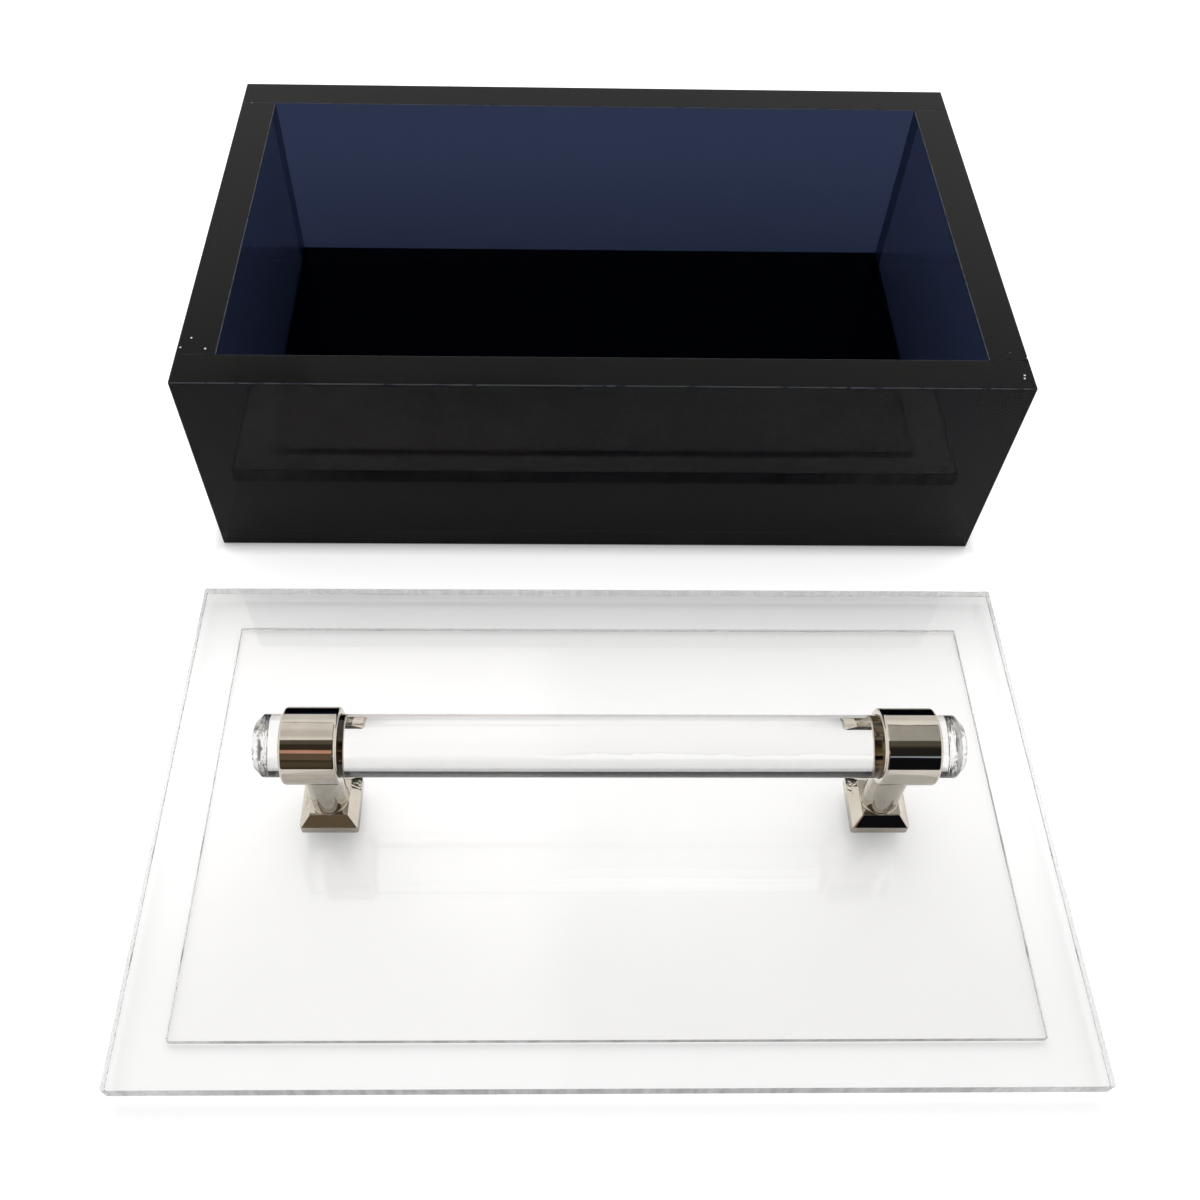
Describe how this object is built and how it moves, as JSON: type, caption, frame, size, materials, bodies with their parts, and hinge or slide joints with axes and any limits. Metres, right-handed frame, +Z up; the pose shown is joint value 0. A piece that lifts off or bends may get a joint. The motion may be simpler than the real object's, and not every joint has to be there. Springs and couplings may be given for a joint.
{
  "type": "acrylic storage box with lid",
  "caption": "Open rectangular box of thick dark acrylic with a loose clear acrylic lid lying in front of it, lifted by a clear rod handle on polished metal posts.",
  "frame": {"origin": "middle of the box's underside, on the surface that it stands on", "axes": "+X along the box's width, +Y towards the back and away from the lid, +Z up"},
  "size_m": [0.254, 0.3298, 0.0762],
  "materials": {
    "dark_acrylic": "polished, very dark blue-black tint",
    "clear_acrylic": "clear, polished faces, saw-cut rod ends",
    "polished_nickel": "mirror polished",
    "screw_steel": "plain zinc-plated"
  },
  "bodies": {
    "box": {"front_wall": "dark_acrylic", "back_wall": "dark_acrylic", "left_wall": "dark_acrylic", "right_wall": "dark_acrylic", "floor_panel": "dark_acrylic"},
    "lid": {"lid_plate": "clear_acrylic", "locating_plate": "clear_acrylic", "handle_rod": "clear_acrylic", "left_post": "polished_nickel", "right_post": "polished_nickel", "left_base": "polished_nickel", "right_base": "polished_nickel", "handle_screws": "screw_steel", "rod_set_screws": "screw_steel"}
  },
  "joints": [
    {"name": "lid_lift", "type": "slide", "parent": "box", "child": "lid", "axis": [0, 0, 1], "range_m": [0, 0.12]}
  ]
}
